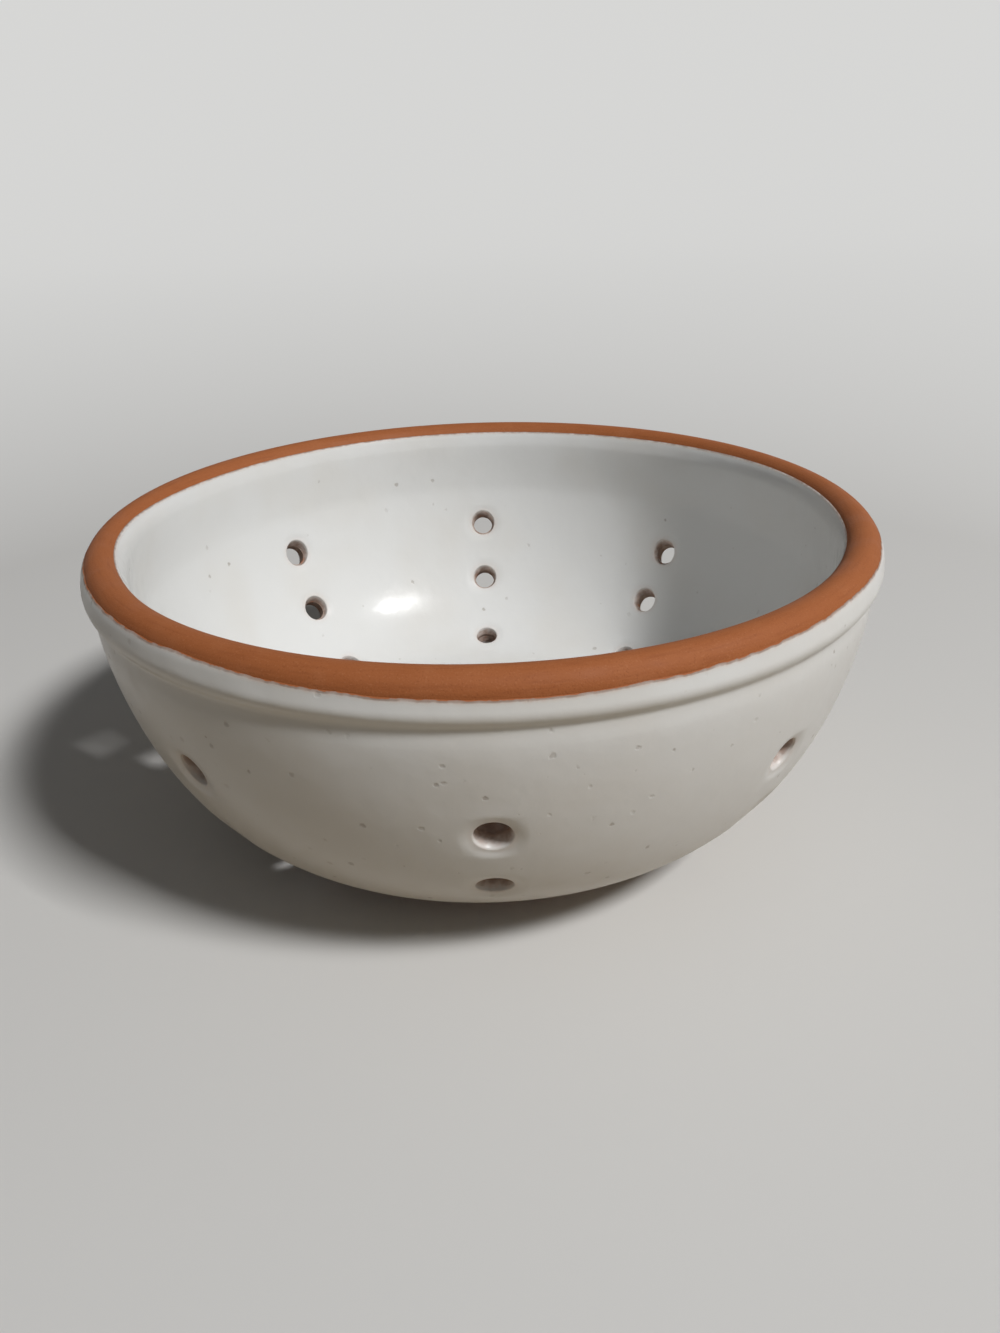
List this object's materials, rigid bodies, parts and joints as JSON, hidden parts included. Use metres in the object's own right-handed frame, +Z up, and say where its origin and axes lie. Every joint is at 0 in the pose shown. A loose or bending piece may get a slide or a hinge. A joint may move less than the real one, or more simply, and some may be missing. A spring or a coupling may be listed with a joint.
{
  "type": "berry bowl",
  "caption": "Round pottery bowl for rinsing and serving berries: terracotta with white glaze, a bare rolled lip, columns of drain holes through its wall, and a low foot ring.",
  "frame": {"origin": "middle of the foot ring's underside, on the table", "axes": "+Z up along the axis that the bowl was thrown on; -Y is the side with a column of holes that faces the viewer"},
  "size_m": [0.1616, 0.1616, 0.068],
  "materials": {
    "terracotta": "unglazed, fired matt red clay",
    "white_glaze": "semi-gloss white glaze"
  },
  "bodies": {
    "root": {"clay_body": "terracotta", "inside_glaze": "white_glaze", "outside_glaze": "white_glaze", "hole_lining_upper_1": "white_glaze", "hole_lining_upper_2": "white_glaze", "hole_lining_upper_3": "white_glaze", "hole_lining_upper_4": "white_glaze", "hole_lining_upper_5": "white_glaze", "hole_lining_upper_6": "white_glaze", "hole_lining_upper_7": "white_glaze", "hole_lining_upper_8": "white_glaze", "hole_lining_middle_1": "white_glaze", "hole_lining_middle_2": "white_glaze", "hole_lining_middle_3": "white_glaze", "hole_lining_middle_4": "white_glaze", "hole_lining_middle_5": "white_glaze", "hole_lining_middle_6": "white_glaze", "hole_lining_middle_7": "white_glaze", "hole_lining_middle_8": "white_glaze", "hole_lining_lower_1": "white_glaze", "hole_lining_lower_2": "white_glaze", "hole_lining_lower_3": "white_glaze", "hole_lining_lower_4": "white_glaze", "hole_lining_lower_5": "white_glaze", "hole_lining_lower_6": "white_glaze", "hole_lining_lower_7": "white_glaze", "hole_lining_lower_8": "white_glaze"}
  },
  "joints": []
}
